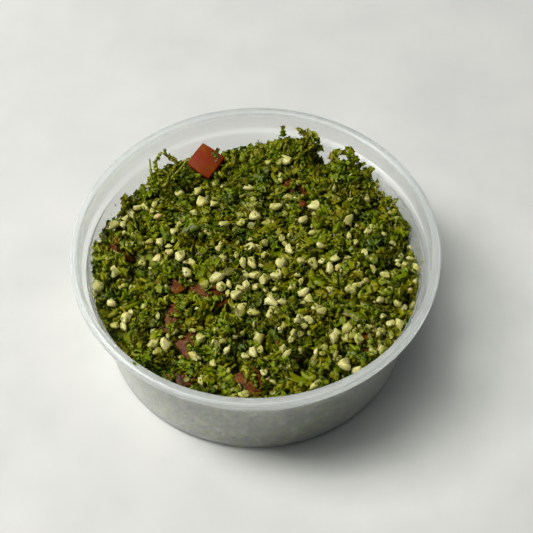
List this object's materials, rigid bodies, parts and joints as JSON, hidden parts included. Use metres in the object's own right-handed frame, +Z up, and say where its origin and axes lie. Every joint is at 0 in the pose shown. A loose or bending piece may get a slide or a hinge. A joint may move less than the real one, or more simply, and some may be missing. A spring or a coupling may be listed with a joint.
{
  "type": "tabbouleh salad in a round plastic deli tub",
  "caption": "Chopped parsley and bulgur wheat salad with tomato dice, heaped in a low round translucent plastic deli tub without its lid.",
  "frame": {"origin": "centre of the tub's underside, on the surface that it stands on", "axes": "+Z up through the middle of the tub, -Y towards the viewer, +X to the viewer's right"},
  "size_m": [0.1172, 0.1172, 0.043],
  "materials": {
    "tub_plastic": "translucent milky polypropylene, injection moulded, glossy",
    "chopped_salad": "chopped curly parsley, stems and cream-yellow bulgur, moist with dressing",
    "tomato": "wet cut tomato with smooth skin"
  },
  "bodies": {
    "root": {"tub": "tub_plastic", "salad_heap": "chopped_salad", "tomato_die_1": "tomato", "tomato_die_2": "tomato", "tomato_die_3": "tomato", "tomato_die_4": "tomato", "tomato_die_5": "tomato", "tomato_die_6": "tomato", "tomato_die_7": "tomato", "tomato_die_8": "tomato", "tomato_die_9": "tomato", "tomato_die_10": "tomato", "tomato_die_11": "tomato", "tomato_die_12": "tomato"}
  },
  "joints": []
}
